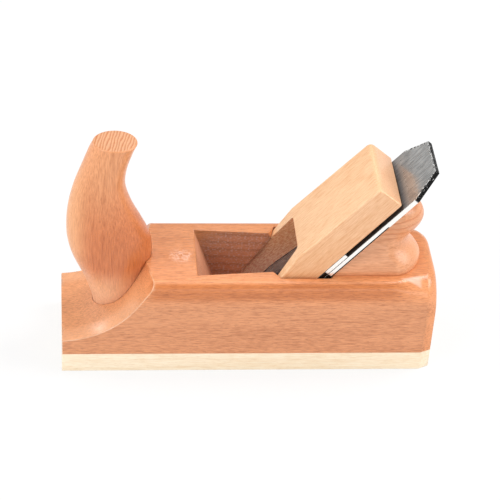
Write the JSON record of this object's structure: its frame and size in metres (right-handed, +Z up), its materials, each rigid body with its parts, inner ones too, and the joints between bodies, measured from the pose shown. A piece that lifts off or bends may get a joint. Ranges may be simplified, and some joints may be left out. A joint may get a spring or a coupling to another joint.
{
  "type": "wooden hand plane",
  "caption": "Horned wooden smoothing plane: beech body with a pale hardwood sole, curved front horn, forked wedge, capped iron and a rounded hand rest behind it.",
  "frame": {"origin": "on the sole face, halfway along the wooden body and in the middle of its width", "axes": "+X from the toe to the heel, +Z up out of the deck, +Y across the width, to the left of someone facing +X"},
  "size_m": [0.2228, 0.065, 0.143],
  "materials": {
    "body_beech": "oiled steamed beech, satin",
    "sole_hornbeam": "oiled hornbeam, satin",
    "grip_beech": "oiled steamed beech, satin",
    "dowel_beech": "plain beech, matt",
    "wedge_beech": "pale beech, satin",
    "iron_steel": "ground and brushed",
    "cap_steel": "dark, fine ground",
    "screw_steel": "turned"
  },
  "bodies": {
    "plane_body": {"stock": "body_beech", "sole": "sole_hornbeam", "horn": "grip_beech", "horn_dowel": "dowel_beech", "hand_rest": "grip_beech", "rest_dowel_front": "dowel_beech", "rest_dowel_rear": "dowel_beech", "strike_button": "sole_hornbeam"},
    "blade": {"iron": "iron_steel"},
    "cap": {"cap_iron": "cap_steel", "cap_nut": "cap_steel"},
    "screw": {"cap_screw": "screw_steel"},
    "fork_wedge": {"wedge": "wedge_beech"}
  },
  "joints": [
    {"name": "iron_slide", "type": "slide", "parent": "plane_body", "child": "blade", "axis": [0.6428, 0, 0.766], "range_m": [-0.001, 0.09]},
    {"name": "wedge_slide", "type": "slide", "parent": "blade", "child": "fork_wedge", "axis": [0.6428, 0, 0.766], "range_m": [0, 0.07]},
    {"name": "cap_slide", "type": "slide", "parent": "blade", "child": "cap", "axis": [0.6428, 0, 0.766], "range_m": [0, 0.02]},
    {"name": "cap_screw_turn", "type": "hinge", "parent": "cap", "child": "screw", "pos_m": [0.02475, 0, 0.03725], "axis": [-0.766, 0, 0.6428], "range_deg": [0, 360]}
  ]
}
